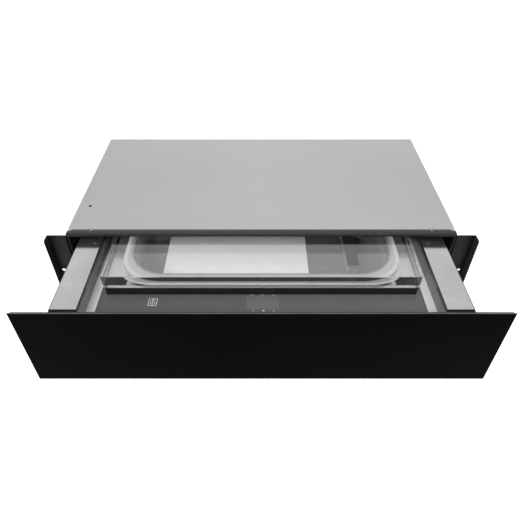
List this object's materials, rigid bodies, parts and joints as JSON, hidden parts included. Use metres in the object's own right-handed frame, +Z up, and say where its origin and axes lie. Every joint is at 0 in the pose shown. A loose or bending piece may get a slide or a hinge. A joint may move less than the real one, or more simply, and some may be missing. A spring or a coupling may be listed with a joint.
{
  "type": "vacuum sealing drawer",
  "caption": "Built-in vacuum sealing drawer, partly pulled out of its steel housing: black glass front, touch strip, clear lid over a deep steel chamber.",
  "frame": {"origin": "centre of the bounding box in X and Y at the pose of the picture, on the plane under the housing's feet", "axes": "+X to the right seen from the front, +Y from the front panel to the back, +Z up"},
  "size_m": [0.595, 0.397, 0.1398],
  "materials": {
    "black_glass": "gloss",
    "control_glass": "gloss",
    "clear_lid": "gloss",
    "satin_steel": "satin",
    "chamber_steel": "satin",
    "carrier_steel": "satin",
    "zinc_steel": "satin",
    "black_steel": "satin",
    "dark_steel": "satin",
    "screw_steel": "satin",
    "slide_steel": "satin",
    "ball_steel": "polished",
    "black_plastic": "matte",
    "grey_plastic": "matte",
    "white_plastic": "satin",
    "board_green": "satin",
    "display_dark": "gloss",
    "light_silicone": "satin",
    "red_silicone": "satin",
    "black_rubber": "matte",
    "bar_aluminium": "satin",
    "cast_aluminium": "satin",
    "bar_tape": "satin",
    "core_steel": "satin"
  },
  "bodies": {
    "housing": {"housing_shell": "zinc_steel", "housing_top_cover": "satin_steel", "housing_nose": "dark_steel", "housing_rear_panel": "zinc_steel", "housing_feet": "black_rubber", "housing_screws": "screw_steel", "mains_gland": "black_plastic", "latch_body": "grey_plastic", "mounting_flange_left": "black_steel", "mounting_flange_right": "black_steel", "slide_outer_left": "slide_steel", "slide_outer_right": "slide_steel"},
    "drawer": {"front_glass": "black_glass", "front_carrier": "carrier_steel", "front_bumpers": "black_rubber", "rail_end_block_left": "black_plastic", "rail_end_block_right": "black_plastic", "slide_inner_left": "slide_steel", "slide_inner_right": "slide_steel", "side_cover_left": "satin_steel", "side_cover_right": "satin_steel", "drawer_chassis": "zinc_steel", "deck_plate": "zinc_steel", "deck_skirt": "black_steel", "vacuum_chamber": "chamber_steel", "seal_ring": "light_silicone", "hinge_bases": "zinc_steel", "hinge_pins": "screw_steel", "bar_lift_cylinders": "cast_aluminium", "insert_plate": "white_plastic", "control_glass": "control_glass", "control_tray": "black_plastic", "touch_board": "board_green", "display_module": "display_dark", "pump_motor_housing": "dark_steel", "pump_head_left": "cast_aluminium", "pump_head_right": "cast_aluminium", "pump_bracket": "zinc_steel", "pump_mounts": "black_rubber", "chamber_port": "cast_aluminium", "vacuum_hose": "black_rubber", "vent_valve": "grey_plastic", "power_board": "board_green", "board_spacers": "white_plastic", "sealing_transformer": "core_steel", "fan_frame": "black_plastic"},
    "slide_middle_left": {"slide_middle_left": "slide_steel"},
    "slide_middle_right": {"slide_middle_right": "slide_steel"},
    "outer_cages": {"outer_ball_cages": "ball_steel"},
    "inner_cages": {"inner_ball_cages": "ball_steel"},
    "lid": {"lid_glass": "clear_lid", "counter_strip": "red_silicone", "hinge_bracket_left": "satin_steel", "hinge_bracket_right": "satin_steel"},
    "sealing_bar": {"sealing_bar": "bar_aluminium", "bar_tape": "bar_tape", "bar_pins": "screw_steel"},
    "latch_plunger": {"latch_plunger": "white_plastic"},
    "fan_rotor": {"fan_rotor": "black_plastic"},
    "pump_rotor": {"pump_rotor": "core_steel"}
  },
  "joints": [
    {"name": "drawer_slide", "type": "slide", "parent": "housing", "child": "drawer", "axis": [0, -1, 0], "range_m": [-0.1118, 0.13]},
    {"name": "left_middle_slide", "type": "slide", "parent": "housing", "child": "slide_middle_left", "axis": [0, -1, 0], "range_m": [-0.056, 0.0651]},
    {"name": "right_middle_slide", "type": "slide", "parent": "housing", "child": "slide_middle_right", "axis": [0, -1, 0], "range_m": [-0.056, 0.0651]},
    {"name": "outer_cage_slide", "type": "slide", "parent": "housing", "child": "outer_cages", "axis": [0, -1, 0], "range_m": [-0.02805, 0.0326]},
    {"name": "inner_cage_slide", "type": "slide", "parent": "housing", "child": "inner_cages", "axis": [0, -1, 0], "range_m": [-0.08395, 0.0976]},
    {"name": "lid_hinge", "type": "hinge", "parent": "drawer", "child": "lid", "pos_m": [0, 0.05, 0.121], "axis": [-1, 0, 0], "range_deg": [0, 2.5]},
    {"name": "bar_lift", "type": "slide", "parent": "drawer", "child": "sealing_bar", "axis": [0, 0, 1], "range_m": [0, 0.0037], "stiffness_N_per_m": 1500, "springref_m": -0.001},
    {"name": "latch_press", "type": "slide", "parent": "housing", "child": "latch_plunger", "axis": [0, 1, 0], "range_m": [0, 0.004], "stiffness_N_per_m": 1500, "springref_m": -0.002},
    {"name": "fan_spin", "type": "hinge", "parent": "drawer", "child": "fan_rotor", "pos_m": [-0.085, -0.0765, 0.0167], "axis": [0, 0, 1], "continuous": true},
    {"name": "pump_spin", "type": "hinge", "parent": "drawer", "child": "pump_rotor", "pos_m": [0, -0.0135, 0.0325], "axis": [1, 0, 0], "continuous": true}
  ],
  "couplings": [
    {"joint": "left_middle_slide", "follows": "drawer_slide", "ratio": 0.5},
    {"joint": "right_middle_slide", "follows": "drawer_slide", "ratio": 0.5},
    {"joint": "outer_cage_slide", "follows": "drawer_slide", "ratio": 0.25},
    {"joint": "inner_cage_slide", "follows": "drawer_slide", "ratio": 0.75}
  ]
}
